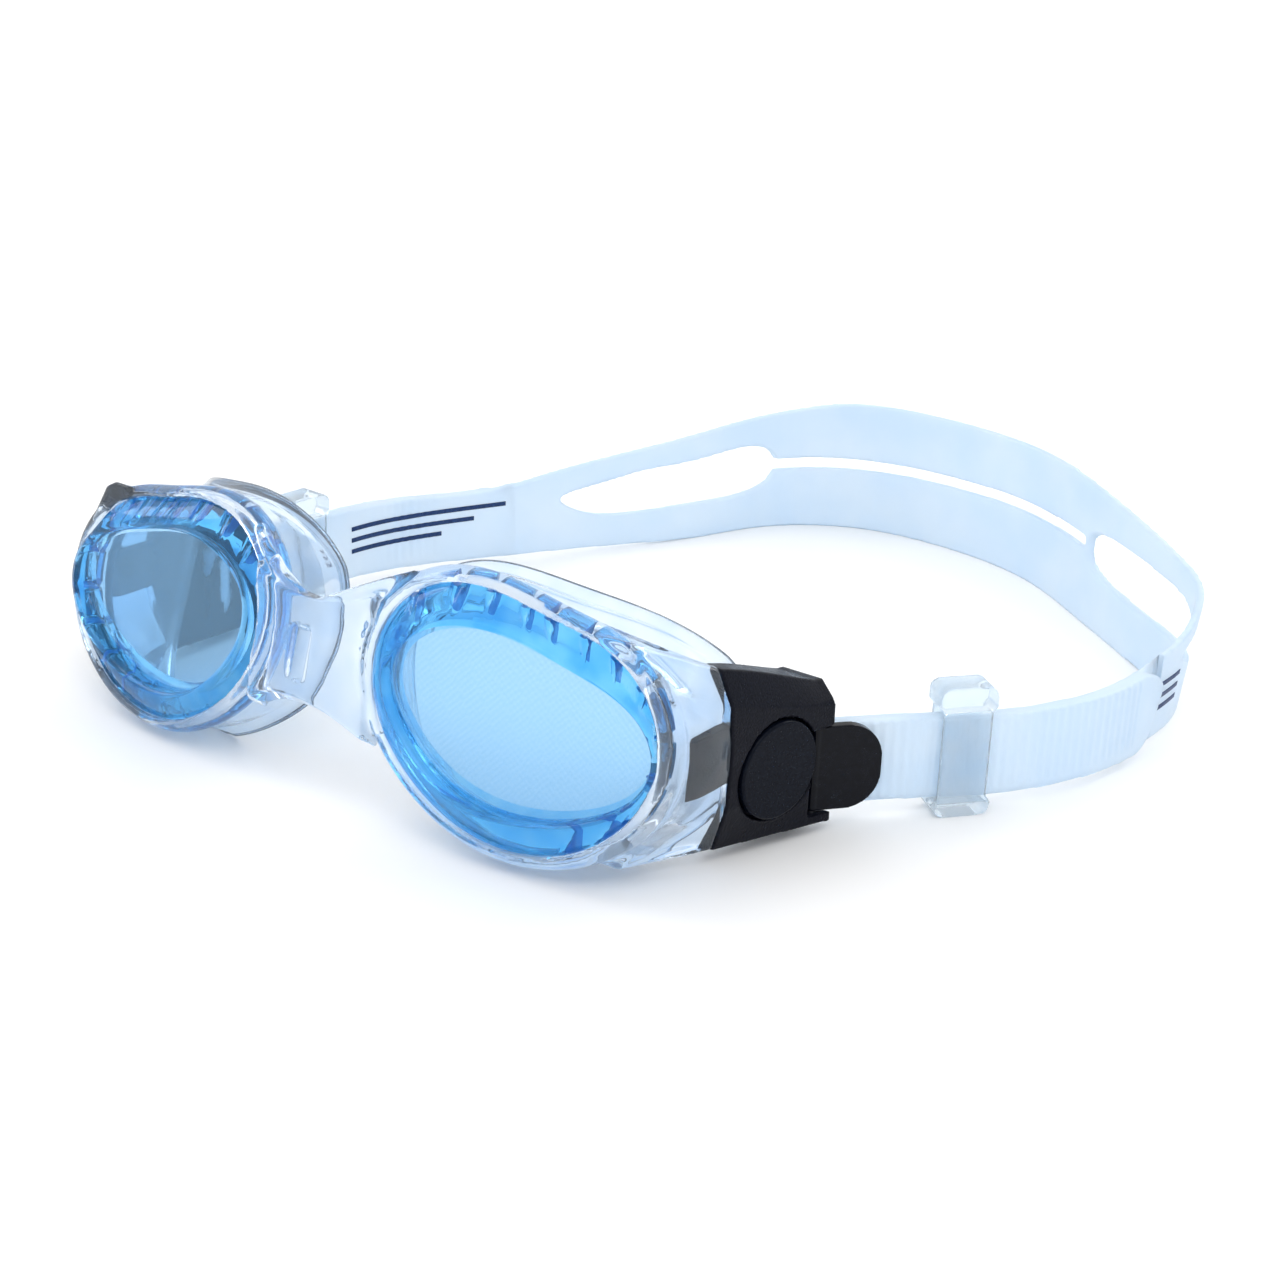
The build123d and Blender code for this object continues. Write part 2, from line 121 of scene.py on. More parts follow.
def node_material(name, **values):
    """New material with constants set on its shader's own sockets."""
    mat = bpy.data.materials.new(name)
    mat.use_nodes = True
    shader = mat.node_tree.nodes["Principled BSDF"]
    for key, value in values.items():
        shader.inputs[SOCKETS[key]].default_value = value
    return mat, mat.node_tree, shader


def add_noise(tree, scale, detail=3.0, stretch=(1, 1, 1)):
    coords = tree.nodes.new("ShaderNodeTexCoord")
    mapping = tree.nodes.new("ShaderNodeMapping")
    mapping.inputs["Scale"].default_value = stretch
    noise = tree.nodes.new("ShaderNodeTexNoise")
    noise.inputs["Scale"].default_value = scale
    noise.inputs["Detail"].default_value = detail
    tree.links.new(coords.outputs["Object"], mapping.inputs["Vector"])
    tree.links.new(mapping.outputs["Vector"], noise.inputs["Vector"])
    return noise.outputs["Fac"]


def add_bump(tree, shader, height, strength, distance):
    bump = tree.nodes.new("ShaderNodeBump")
    bump.inputs["Strength"].default_value = strength
    bump.inputs["Distance"].default_value = distance
    tree.links.new(height, bump.inputs["Height"])
    tree.links.new(bump.outputs["Normal"], shader.inputs["Normal"])


def vary(tree, factor, low, high, target, start=0.35, end=0.65):
    """Runs a noise value through a ramp between two colours or two greys into a socket."""
    ramp = tree.nodes.new("ShaderNodeValToRGB")
    ramp.color_ramp.elements[0].position = start
    ramp.color_ramp.elements[1].position = end
    for element, value in zip(ramp.color_ramp.elements, (low, high)):
        grey = not hasattr(value, "__len__")
        element.color = (value, value, value, 1) if grey else (*value, 1)
    tree.links.new(factor, ramp.inputs["Fac"])
    tree.links.new(ramp.outputs["Color"], target)


def clear_plastic(name, low, high, rough, ior, clear, bump, scale=160.0):
    """Moulded see-through plastic or silicone: faint flow waves, uneven polish and tint."""
    mat, tree, shader = node_material(name, ior=ior, clear=clear)
    waves = add_noise(tree, scale, 2.0)
    vary(tree, waves, low, high, shader.inputs["Base Color"])
    polish = add_noise(tree, scale * 6)
    vary(tree, polish, *rough, shader.inputs["Roughness"])
    add_bump(tree, shader, waves, bump, 0.0004)
    return mat


def window_material():
    """Lens window: pale tint with the faint woven look of its inner coating."""
    mat, tree, shader = node_material("lens_window", ior=1.12, clear=0.82)
    coords = tree.nodes.new("ShaderNodeTexCoord")
    weave = tree.nodes.new("ShaderNodeTexChecker")
    weave.inputs["Scale"].default_value = 1500.0
    weave.inputs["Color1"].default_value = (0.39, 0.68, 0.94, 1)
    weave.inputs["Color2"].default_value = (0.44, 0.72, 0.96, 1)
    tree.links.new(coords.outputs["Object"], weave.inputs["Vector"])
    tree.links.new(weave.outputs["Color"], shader.inputs["Base Color"])
    polish = add_noise(tree, 700)
    vary(tree, polish, 0.02, 0.10, shader.inputs["Roughness"])
    add_bump(tree, shader, polish, 0.05, 0.0002)
    return mat


def dark_plastic(name, low, high, rough, grain, scale, spec, coat=0.0):
    """Near-black moulded plastic or ink with a fine grain."""
    mat, tree, shader = node_material(name, spec=spec, coat=coat, coat_rough=0.06)
    fine = add_noise(tree, scale, 4.0)
    vary(tree, fine, low, high, shader.inputs["Base Color"])
    vary(tree, add_noise(tree, 300.0, 2.0), *rough, shader.inputs["Roughness"])
    add_bump(tree, shader, fine, grain, 0.0003)
    return mat


def steel_material():
    """Drawn steel, brushed along its length."""
    mat, tree, shader = node_material("steel", metal=1.0)
    brushed = add_noise(tree, 900.0, 3.0, (1, 1, 12))
    vary(tree, brushed, (0.42, 0.43, 0.45), (0.62, 0.63, 0.66), shader.inputs["Base Color"])
    vary(tree, brushed, 0.22, 0.38, shader.inputs["Roughness"])
    add_bump(tree, shader, brushed, 0.1, 0.0001)
    return mat


CLEAR = clear_plastic("clear_frame", (0.72, 0.85, 1.0), (0.82, 0.91, 1.0), (0.02, 0.05), 1.32, 0.94, 0.03)
SEAL = clear_plastic("seal_silicone", (0.74, 0.86, 1.0), (0.84, 0.92, 1.0), (0.06, 0.12), 1.30, 0.88, 0.03)
SLEEVE = clear_plastic("sleeve", (0.78, 0.90, 1.0), (0.86, 0.94, 1.0), (0.10, 0.20), 1.30, 0.80, 0.05)
STRAP = clear_plastic("strap_silicone", (0.70, 0.85, 1.0), (0.77, 0.89, 1.0), (0.32, 0.40), 1.36, 0.35,
                      0.01, 60.0)
RIM = clear_plastic("lens_rim", (0.07, 0.45, 0.94), (0.17, 0.60, 0.98), (0.02, 0.05), 1.34, 0.90, 0.05)
# Painted shade: the rim's slot faces get a darker, denser blue than the rim, for the shade in those recesses
SLOT_PAINTED_SHADE = clear_plastic("lens_slots_painted_shade", (0.02, 0.18, 0.60), (0.04, 0.28, 0.78), (0.05, 0.12), 1.40, 0.40, 0.05)
WINDOW = window_material()
HOUSING = dark_plastic("housing", (0.0015, 0.002, 0.005), (0.005, 0.006, 0.012), (0.26, 0.40), 0.35,
                       2600.0, 0.09)
BUTTON = dark_plastic("button", (0.002, 0.003, 0.007), (0.004, 0.006, 0.012), (0.22, 0.28), 0.05,
                      1800.0, 0.07)
LEVER = dark_plastic("lever", (0.001, 0.0015, 0.004), (0.003, 0.004, 0.008), (0.06, 0.10), 0.02,
                     900.0, 0.10, 0.12)
PRINT = dark_plastic("print", (0.01, 0.03, 0.10), (0.02, 0.05, 0.15), (0.35, 0.5), 0.05, 1500.0, 0.2)
STEEL = steel_material()


# ------------------------------------------------------------------ mesh helpers

def new_piece(name, mesh, materials, body=BODY, replaces=()):
    """Smooth-shaded object that rides on a body."""
    obj = bpy.data.objects.new(name, mesh)
    scene.collection.objects.link(obj)
    for material in materials:
        mesh.materials.append(material)
    mesh.polygons.foreach_set("use_smooth", [True] * len(mesh.polygons))
    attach(obj, body)
    if replaces:
        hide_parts(*replaces)
    return obj


def fix_normals(mesh):
    """Turns every face of a closed mesh outward."""
    bm = bmesh.new()
    bm.from_mesh(mesh)
    bmesh.ops.recalc_face_normals(bm, faces=bm.faces)
    if bm.calc_volume(signed=True) < 0:
        bmesh.ops.reverse_faces(bm, faces=bm.faces)
    bm.to_mesh(mesh)
    bm.free()


def loft_mesh(name, rings, cap=True):
    """Closed mesh through rings of equal length: capped at both ends, or running round to the start."""
    count = len(rings[0])
    faces = []
    for i in range(len(rings) - 1 if cap else len(rings)):
        a, b = i * count, ((i + 1) % len(rings)) * count
        for j in range(count):
            k = (j + 1) % count
            faces.append((a + j, a + k, b + k, b + j))
    if cap:
        last = (len(rings) - 1) * count
        faces.append(tuple(range(count))[::-1])
        faces.append(tuple(range(last, last + count)))
    mesh = bpy.data.meshes.new(name)
    mesh.from_pydata([tuple(v) for v in np.concatenate([world(r) for r in rings])], [], faces)
    fix_normals(mesh)
    return mesh


def joined(meshes):
    """Several meshes as one."""
    bm = bmesh.new()
    for mesh in meshes:
        bm.from_mesh(mesh)
    result = bpy.data.meshes.new("joined")
    bm.to_mesh(result)
    bm.free()
    return result


def remoulded(source, voxel, smooth):
    """Closed copy with even small faces and softly rounded edges, ready for finer shaping."""
    obj = bpy.data.objects.new("scratch", source.copy())
    scene.collection.objects.link(obj)
    remesh = obj.modifiers.new("remesh", "REMESH")
    remesh.mode = "VOXEL"
    remesh.voxel_size = voxel * MM
    soft = obj.modifiers.new("smooth", "SMOOTH")
    soft.iterations = smooth
    soft.factor = 0.5
    graph = bpy.context.evaluated_depsgraph_get()
    mesh = bpy.data.meshes.new_from_object(obj.evaluated_get(graph))
    mesh.materials.clear()
    bpy.data.objects.remove(obj)
    return mesh


def vertices(mesh):
    """Vertex positions in millimetres from the nose."""
    co = np.zeros(len(mesh.vertices) * 3)
    mesh.vertices.foreach_get("co", co)
    return (co.reshape(-1, 3) - ORIGIN) / MM


def set_vertices(mesh, co):
    mesh.vertices.foreach_set("co", world(co).ravel())
    mesh.update()


# ------------------------------------------------------------------ lenses and seals

ANGLES = np.linspace(0, 2 * pi, 432, endpoint=False)


def oval(half_width, half_height, square, lean, egg, droop, shift, grow):
    """Points round an ellipse whose radius swells and shrinks with the angle."""
    t = ANGLES
    swell = 1 + square * np.cos(2 * t) + lean * np.sin(2 * t) + egg * np.cos(3 * t) + droop * np.sin(3 * t)
    x = shift[0] + (half_width + grow) * swell * np.cos(t)
    y = shift[1] + (half_height + grow) * swell * np.sin(t)
    return np.stack([x, y], 1)


def window_oval(grow=0.0):
    return oval(24.5, 16.2, 0.047, -0.081, 0.045, 0.030, (0.9, 0), grow)


def rim_oval(grow=0.0):
    return oval(25.8, 25.1, 0.125, -0.075, 0.020, 0.035, (-0.6, 0.5), grow)


def seal_oval(grow=0.0):
    return oval(35.0, 30.0, -0.02, -0.03, 0.046, 0.026, (-2.4, -0.4), grow)


def on_eye(flat, pitch, depth, hand):
    """Flat outline placed across an eye cup at a depth behind its plane."""
    yaw, tilt = radians(EYE_YAW), radians(pitch)
    across = np.array((cos(yaw), sin(yaw), 0))
    forward = np.array((sin(yaw) * cos(tilt), -cos(yaw) * cos(tilt), sin(tilt)))
    up = np.cross(forward, across)
    depth = np.broadcast_to(depth, (len(flat),))
    points = np.array((EYE_X, 0, EYE_Z)) + flat[:, :1] * across + flat[:, 1:] * up - depth[:, None] * forward
    points[:, 0] *= hand
    return points


def grown(flat, middle, by):
    """Outline moved outward from a middle."""
    return middle + (flat - middle) * (1 + by / np.hypot(*(flat - middle).T))[:, None]


SLOT_COUNT = 22                 # radial slots round the thick rim of a lens
SLOT_HALF_WIDTH = 0.8
SLOT_SIDE = 0.35                # over which the side of a slot falls away
SLOT_SEEDS = {"left": 11, "right": 12}
RIM_RADIUS = 27.0
SLOT_RADIUS = 26.0
SLOT_SHADE_FROM = 0.45              # depth of slot from which a whole face is painted the darker blue of painted shade
# The edge of the window up to the front of the rim: growth, depth and how far it has turned to the rim.
EDGE_PROFILE = [(0.05, -1.75, 0.08), (0.2, -1.8, 0.8), (0.6, -1.95, 1.0), (1.5, -1.9, 1.0)]
# The rim from front to back: growth, depth, and how far a slot cuts inward and forward.
RIM_PROFILE = [(-0.95, -0.3, 0.3, 0.0), (-0.5, 0.6, 1.6, 0.0), (-0.1, 2.0, 2.6, 0.0),
               (0.1, 3.6, 2.8, 0.5), (0.0, 4.5, 2.8, 1.6), (-0.9, 4.9, 2.4, 2.4)]
# From the back of the rim in to the window: share of the way, and how much further back.
BACK_PROFILE = [(0.35, 0.6), (0.75, 0.3)]
# Where that slope meets the window's back: growth and depth.
WINDOW_HEEL = (0.6, 2.18)


def slot_pattern(side):
    """1 inside the slots and 0 between them: deep over the top and temple, faint at the nose."""
    rng = np.random.default_rng(SLOT_SEEDS[side])
    depth = np.zeros(len(ANGLES))
    for i in range(SLOT_COUNT):
        middle = 2 * pi * (i + 0.5 + rng.uniform(-0.12, 0.12)) / SLOT_COUNT
        away = np.abs((ANGLES - middle + pi) % (2 * pi) - pi) * RIM_RADIUS
        upper = 0.06 + 0.94 * np.clip(sin(middle + 0.85) * 3 + 1.2, 0, 1)
        slot = np.clip((SLOT_HALF_WIDTH - away) / SLOT_SIDE, 0, 1)
        depth = np.maximum(depth, slot * rng.uniform(0.65, 1.0) * upper)
    return depth


def lens(side):
    """Flat window in a thick slotted rim."""
    hand = SIDES[side]["hand"]
    slots = slot_pattern(side)

    def window(flat, depth):
        return on_eye(flat, WINDOW_PITCH, depth, hand)

    def edge(grow, depth, turned):
        flat = window_oval(grow)
        return window(flat, 0.0) * (1 - turned) + on_eye(flat, CUP_PITCH, depth, hand) * turned

    def rim(grow, depth, inward, forward):
        flat = rim_oval(grow) * (1 - inward * slots / SLOT_RADIUS)[:, None]
        return on_eye(flat, CUP_PITCH, depth - forward * slots, hand)

    def behind(share, further):
        return rim(*RIM_PROFILE[-1]) * (1 - share) + heel * share + further * np.array((0, 1, 0))

    grow, depth = WINDOW_HEEL
    heel = window(window_oval(grow), depth)
    inside = [window_oval(-1.0) * share for share in (0.02, 0.5, 1.0)]
    front = [window(flat, 0.0) for flat in inside]
    rings = front + [window(window_oval(-0.15), 0.0)]
    rings += [edge(*row) for row in EDGE_PROFILE]
    rim_start = len(rings)
    rings += [rim(*row) for row in RIM_PROFILE]
    rings += [behind(*row) for row in BACK_PROFILE]
    rim_end = len(rings)
    rings += [heel, window(window_oval(0.2), WINDOW_THICK)]
    back_start = len(rings)
    rings += [window(flat, WINDOW_THICK) for flat in inside[::-1]]

    mesh = loft_mesh(f"{side}_lens_look", rings)
    count = len(ANGLES)
    for polygon in mesh.polygons:
        ring = min(polygon.vertices) // count
        in_window = ring < len(front) or ring >= back_start
        # Faces deep in the slots get the darker blue of painted shade; the rest of the rim keeps its own blue
        in_shaded_slot = rim_start <= ring < rim_end - 1 and slots[polygon.vertices[0] % count] > SLOT_SHADE_FROM
        polygon.material_index = 1 if in_window else 2 if in_shaded_slot else 0
    return new_piece(f"{side}_lens_look", mesh, (RIM, WINDOW, SLOT_PAINTED_SHADE), replaces=(f"{side}_lens",))


SEAL_TUCK = 1.2                 # the seal starts inside the edge of the frame
SEAL_FLARE = 2.6                # outward flare of its lip
FLARE_START = 0.35              # share of its length at which it starts to flare
FLARE_BACK = 1.1                # how far the flare leans back, for each millimetre outward
NOSE_ANGLE = -128.0
SEAL_BOW = 0.55                 # inward bow of its wall
TABLE_GAP = 0.15
FACE_CURVE = (0.012, 0.2, 10.0)  # depth of the wearer's face: a quadratic in the distance from the eye
# Lip between the outer and inner skins: share of the length, inset.
LIP = [(0.985, -0.05), (1.0, 0.7), (0.985, 1.75), (0.95, 2.1), (0.90, 1.9)]
OUTER_INSET, INNER_INSET = 0.1, 1.45


def seal(side):
    """Soft skirt, cut to the face and flared over the eye and beside the nose."""
    hand = SIDES[side]["hand"]
    start, end = rim_oval(-SEAL_TUCK), seal_oval()
    length = np.ones(len(ANGLES))
    for _ in range(30):
        u = (start + (end - start) * length[:, None])[:, 0]
        face = np.polyval(FACE_CURVE, u)
        length = np.clip((face - CUP_DEPTH) / (SEAL_REACH - CUP_DEPTH), 0.05, 1.0)
    over_eye = np.clip(np.sin(ANGLES) * 1.6 + 0.2, 0, 1)
    by_nose = 1.2 * np.clip(np.cos(ANGLES - radians(NOSE_ANGLE)) * 1.9 - 0.7, 0, 1)

    def ring(share, inset):
        flare = SEAL_FLARE * max(0.0, (share - FLARE_START) / (1 - FLARE_START)) ** 1.5 * (over_eye + by_nose)
        flat = start + (end - start) * (length * share)[:, None]
        middle = flat.mean(0)
        for by in (-inset, flare, -SEAL_BOW * sin(pi * share)):
            flat = grown(flat, middle, by)
        depth = CUP_DEPTH + (SEAL_REACH - CUP_DEPTH) * length * share + flare * FLARE_BACK
        points = on_eye(flat, CUP_PITCH, depth, hand)
        points[:, 2] = np.maximum(points[:, 2], TABLE_GAP + 0.5 * max(inset, 0))
        return points

    shares = np.linspace(0, 0.94, 10)
    rings = [ring(share, OUTER_INSET) for share in shares]
    rings += [ring(*row) for row in LIP]
    rings += [ring(share, INNER_INSET) for share in shares[-2::-1]]
    mesh = loft_mesh(f"{side}_seal_look", rings, cap=False)
    return new_piece(f"{side}_seal_look", mesh, (SEAL,), replaces=(f"{side}_face_seal",))


# ------------------------------------------------------------------ clear frame

# Outer side of the joint between frame and buckle: x and z.
JOINT_OUTLINE = np.array([(70.4, 3.0), (73.0, 11.5), (73.6, 22.0), (73.1, 31.0), (70.1, 37.2)])
CHEEK_ARC = (-82, 84)           # degrees of the cup wall that a cheek springs from
CHEEK_ROWS, CHEEK_COLUMNS = 15, 33
CHEEK_BULGE = 1.1
CHEEK_THICK = (1.5, 2.6)        # at the cup wall, and how much thicker it soon gets
# Lip over a lens rim: growth and depth.
LAP_PROFILE = [(0.6, -0.9), (-0.6, -0.75), (-0.7, -0.35), (-0.3, 0.7), (0.2, 1.8), (0.6, 2.6)]
# Filler on top of the bridge: its middle and its radius.
GUSSET_PATH = [((3.0, -3.8, 39.6), 0.8), ((9.0, -2.8, 41.9), 1.3), ((14.0, -0.6, 44.0), 1.5),
               ((19.0, 2.0, 46.4), 1.2)]
# Highest that the clear temple reaches, at distances from the nose.
ROOF_X = (54.0, 60.3, 64.6, 70.5)
ROOF_Z = (48.6, 45.3, 42.8, 37.9)


def cheek(hand):
    """Skin that carries the cup wall's outer edge smoothly back to the buckle."""
    steps = np.linspace(0, 1, CHEEK_COLUMNS)
    knots = np.linspace(0, 1, len(JOINT_OUTLINE))
    x, z = (np.interp(steps, knots, JOINT_OUTLINE[:, k]) for k in (0, 1))
    back = np.stack([x, np.full(CHEEK_COLUMNS, JOINT_Y - 0.1), z], 1)
    degrees = np.interp(steps, [0, 1], CHEEK_ARC)
    order = np.round(degrees / 360 * len(ANGLES)).astype(int) % len(ANGLES)
    front = on_eye(rim_oval(2.1), CUP_PITCH, 1.7, 1)[order]

    share = np.linspace(0, 1, CHEEK_ROWS)[:, None, None]
    outer = front * (1 - share) + back * share
    outer[:, :, 0] += CHEEK_BULGE * np.sin(pi * share[:, :, 0]) * np.sin(pi * steps)
    normal = np.cross(np.gradient(outer, axis=1), np.gradient(outer, axis=0))
    normal /= np.linalg.norm(normal, axis=2)[:, :, None]
    if normal[CHEEK_ROWS // 2, CHEEK_COLUMNS // 2, 0] < 0:
        normal = -normal
    thick = CHEEK_THICK[0] + CHEEK_THICK[1] * np.clip(share / 0.25, 0, 1)
    inner = outer - thick * normal
    loops = np.concatenate([outer, inner[:, ::-1]], axis=1) * np.array((hand, 1, 1))
    return loft_mesh("cheek", list(loops))


def lap(hand):
    """Clear lip that laps over the sloping side of the lens rim."""
    rings = [on_eye(rim_oval(grow), CUP_PITCH, depth, hand) for grow, depth in LAP_PROFILE]
    return loft_mesh("lap", rings, cap=False)


def gusset(hand):
    """Rounded filler where the top of the bridge runs into a cup wall."""
    turn = np.linspace(0, 2 * pi, 24, endpoint=False)
    circle = np.stack([-0.4 * np.sin(turn), np.cos(turn), np.sin(turn)], 1)
    rings = [(np.array(middle) + radius * circle) * np.array((hand, 1, 1)) for middle, radius in GUSSET_PATH]
    return loft_mesh("gusset", rings)


def front_frame():
    parts = [frame["nodes"]["front_frame"].data]
    for shape in (cheek, lap, gusset):
        parts += [shape(1), shape(-1)]
    mesh = remoulded(joined(parts), 0.42, 11)
    co = vertices(mesh)
    away = np.abs(co[:, 0])
    roof = np.minimum(co[:, 2], np.interp(away, ROOF_X, ROOF_Z))
    co[:, 2] = np.where(away > ROOF_X[0], roof, co[:, 2])
    set_vertices(mesh, co)
    return new_piece("front_frame_look", mesh, (CLEAR,), replaces=("front_frame",))


# ------------------------------------------------------------------ buckles and sleeves

HOUSING_TOP_Z, HOUSING_DROP = 26.0, 0.42        # the top falls by this share of its height over that
POCKET_FRONT, POCKET_FLOOR, POCKET_BACK = -1.0, 0.9, 3.2    # depths inward from the button's middle
FLOOR_ROOM, WALL_ROOM = 0.35, 0.25
WAIST = 0.16                    # share of a sleeve's length taken from its middle
FLANGE_Z = (2.6, 21.6)          # inner edges of its flanges
FLANGE_SLOPE = 1.2


def lowered(co, side):
    """Rounds the top of a housing down towards its rear."""
    back = np.clip((co[:, 1] - JOINT_Y) / (PIN.y - JOINT_Y), 0, 1)
    co[:, 2] -= HOUSING_DROP * back ** 2 * np.clip(co[:, 2] - HOUSING_TOP_Z, 0, None)


def opened_pocket(co, side):
    """Gives the button's pocket room for the pressed button."""
    mirror = np.array((SIDES[side]["hand"], 1, 1))
    out = np.array(along(BUCKLE_YAW)[1]) * mirror
    away = co - np.array(BUTTON_AT) * mirror
    depth = -(away @ out)
    flat = away + depth[:, None] * out
    radius = np.linalg.norm(flat, axis=1)
    beyond = radius - BUTTON_RADIUS
    floor = (beyond < 0.1) & (depth > POCKET_FLOOR) & (depth < POCKET_BACK)
    wall = (beyond > -0.6) & (beyond < 0.8) & (depth > POCKET_FRONT) & (depth < POCKET_BACK)
    co[floor] -= FLOOR_ROOM * out
    co[wall] += WALL_ROOM * flat[wall] / radius[wall][:, None]


def waisted(co, side):
    """Narrows the middle of a sleeve, so that its top and bottom stand out as flanges."""
    ahead = np.array(along(SIDES[side]["exit_yaw"])[0]) * np.array((SIDES[side]["hand"], 1, 1))
    middle = (co.min(0) + co.max(0)) / 2
    back = (co - middle) @ ahead
    above, below = co[:, 2] - FLANGE_Z[0], FLANGE_Z[1] - co[:, 2]
    waist = np.clip(above / FLANGE_SLOPE, 0, 1) * np.clip(below / FLANGE_SLOPE, 0, 1)
    co -= WAIST * (back * waist)[:, None] * ahead


def moulded_piece(side, name, material, body, voxel, smooth, shapers=()):
    """A CAD piece with rounded edges and any further shaping."""
    node = f"{side}_{name}"
    mesh = remoulded(frame["nodes"][node].data, voxel, smooth)
    co = vertices(mesh)
    for shaper in shapers:
        shaper(co, side)
    set_vertices(mesh, co)
    return new_piece(f"{node}_look", mesh, (material,), body, replaces=(node,))


def keep_cad_pieces(side):
    """Gives the small CAD pieces that show as they are their materials."""
    finishes = {"release_button": BUTTON, "button_spring": STEEL, "lever_pin": STEEL, "strap_roller": STEEL}
    for name, material in finishes.items():
        mesh = frame["nodes"][f"{side}_{name}"].data
        mesh.materials.clear()
        mesh.materials.append(material)


# ------------------------------------------------------------------ strap

STRAIGHT_STEPS = (-6, 0, 6, 12, 18, 24, 30, 34)     # straight part, in millimetres behind the pin
# Plan points of the main layer beyond the straight part.
BEYOND = {
    "left": [(99.4, 86.0), (103.4, 98.0), (104.8, 114.0), (104.0, 131.0)],
    "right": [(-64.9, 93.0), (-57.3, 113.8), (-45.0, 139.0)],
}
RIB_PITCH = 2.0
RIB_DEPTH = 0.14
RIB_HALF_HEIGHT = 7.4
RIBS_START = 6.0                # lengths along centre_line
RIBS_END = {"left": 78.0, "right": 64.0}
BARE_UNTIL_Y = 60.0             # the main layer has ribs only behind this
TAIL_ROUND = 8.0                # length of the tail's rounded end
NEAR_X, NEAR_Y = 20.0, 132.0    # ribs and tails lie outside and in front of these


def smooth_curve(knots, values, at):
    """Cubic Hermite curve through the values."""
    slope = np.gradient(values, knots)
    i = np.clip(np.searchsorted(knots, at) - 1, 0, len(knots) - 2)
    h = knots[i + 1] - knots[i]
    t = (at - knots[i]) / h
    return ((2 * t ** 3 - 3 * t ** 2 + 1) * values[i] + (t ** 3 - 2 * t ** 2 + t) * h * slope[i]
            + (-2 * t ** 3 + 3 * t ** 2) * values[i + 1] + (t ** 3 - t ** 2) * h * slope[i + 1])


def lengths(points):
    """Length along a chain of plan points, up to each of them."""
    return np.concatenate([[0], np.cumsum(np.hypot(*np.diff(points, axis=0).T))])


def centre_line(side):
    """Dense plan points of the main layer from the buckle back, and the length to each."""
    hand = SIDES[side]["hand"]
    ahead, out = along(SIDES[side]["exit_yaw"])
    straight = [PIN - out * MAIN_INSET + ahead * back for back in STRAIGHT_STEPS]
    points = np.array([(hand * p.x, p.y) for p in straight] + BEYOND[side])
    knots = lengths(points)
    fine = np.linspace(0, knots[-1], 900)
    line = np.stack([smooth_curve(knots, points[:, k], fine) for k in (0, 1)], 1)
    return line, lengths(line)


def shape_side(co, side):
    """Adds one side's ribs and rounds the end of its tail."""
    hand = SIDES[side]["hand"]
    line, length = centre_line(side)
    tail_start = length[np.argmin(np.abs(line[:, 1] - TAIL_END_Y))] - TAIL_ROUND
    ahead = np.gradient(line, axis=0)
    ahead /= np.hypot(*ahead.T)[:, None]
    tree = KDTree(len(line))
    for i, (x, y) in enumerate(line):
        tree.insert((x, y, 0), i)
    tree.balance()
    for v in np.where((co[:, 0] * hand > NEAR_X) & (co[:, 1] < NEAR_Y))[0]:
        x, y, z = co[v]
        i = tree.find((x, y, 0))[1]
        out = np.array((ahead[i][1], -ahead[i][0])) * hand
        off = float(np.dot((x - line[i][0], y - line[i][1]), out))
        tail = off > TAIL_LIFT / 2 and y < TAIL_END_Y + 2
        ribbed = RIBS_START < length[i] < RIBS_END[side] and abs(z - STRAP_MIDDLE_Z) < RIB_HALF_HEIGHT
        if ribbed and (tail or (y > BARE_UNTIL_Y and off > 0)):
            face = off - (TAIL_LIFT if tail else 0.0)
            wave = RIB_DEPTH * cos(2 * pi * length[i] / RIB_PITCH)
            co[v, :2] += out * wave * np.sign(face) * min(1.0, abs(face))
        past = (length[i] - tail_start) / TAIL_ROUND
        if tail and past > 0:
            height = sqrt(max(0.02, 1 - min(past, 1.0) ** 2))
            co[v, 2] = STRAP_MIDDLE_Z + (z - STRAP_MIDDLE_Z) * height


def strap():
    mesh = remoulded(frame["nodes"]["head_strap"].data, 0.4, 9)
    co = vertices(mesh)
    for side in SIDES:
        shape_side(co, side)
    set_vertices(mesh, co)
    return new_piece("head_strap_look", mesh, (STRAP,), replaces=("head_strap",))


# Printed stripes: where they start along centre_line, 1 outside or -1 inside, and each one's
# length and height above the table.
MARKS = {
    "left": (88.0, 1, ((13.0, 8.0), (17.0, 10.6), (21.0, 13.2))),
    "right": (40.0, -1, ((24.0, 9.4), (32.0, 12.0), (40.0, 14.6))),
}
STRIPE_HALF = 0.5
INK = 0.10                      # how far the ink stands out of the strap, and reaches into it
RAY_START = 6.0                 # the strap's surface is looked for from here, outside the main layer


def strap_mark(side, strap_object):
    """Plain printed stripes laid on the strap's surface."""
    start, face, stripes = MARKS[side]
    line, length = centre_line(side)
    tree = BVHTree.FromPolygons([v.co for v in strap_object.data.vertices],
                                [p.vertices for p in strap_object.data.polygons])
    bm = bmesh.new()
    for wide, height in stripes:
        grid = []
        for back in np.linspace(start, start + wide, 25):
            i = min(np.searchsorted(length, back), len(line) - 2)
            ahead = (line[i + 1] - line[i]) / np.hypot(*(line[i + 1] - line[i]))
            out = Vector((ahead[1], -ahead[0], 0)) * SIDES[side]["hand"] * face
            column = []
            for z in np.linspace(height - STRIPE_HALF, height + STRIPE_HALF, 5):
                begin = Vector(world((*line[i], z))) + out * RAY_START * MM
                spot = tree.ray_cast(begin, -out)[0] or begin - out * 5.2 * MM
                column.append([bm.verts.new(spot + out * lift * MM) for lift in (INK, -INK)])
            grid.append(column)
        close_shell(bm, grid)
    mesh = bpy.data.meshes.new(f"{side}_strap_mark")
    bm.to_mesh(mesh)
    bm.free()
    fix_normals(mesh)
    return new_piece(f"{side}_strap_mark", mesh, (PRINT,))


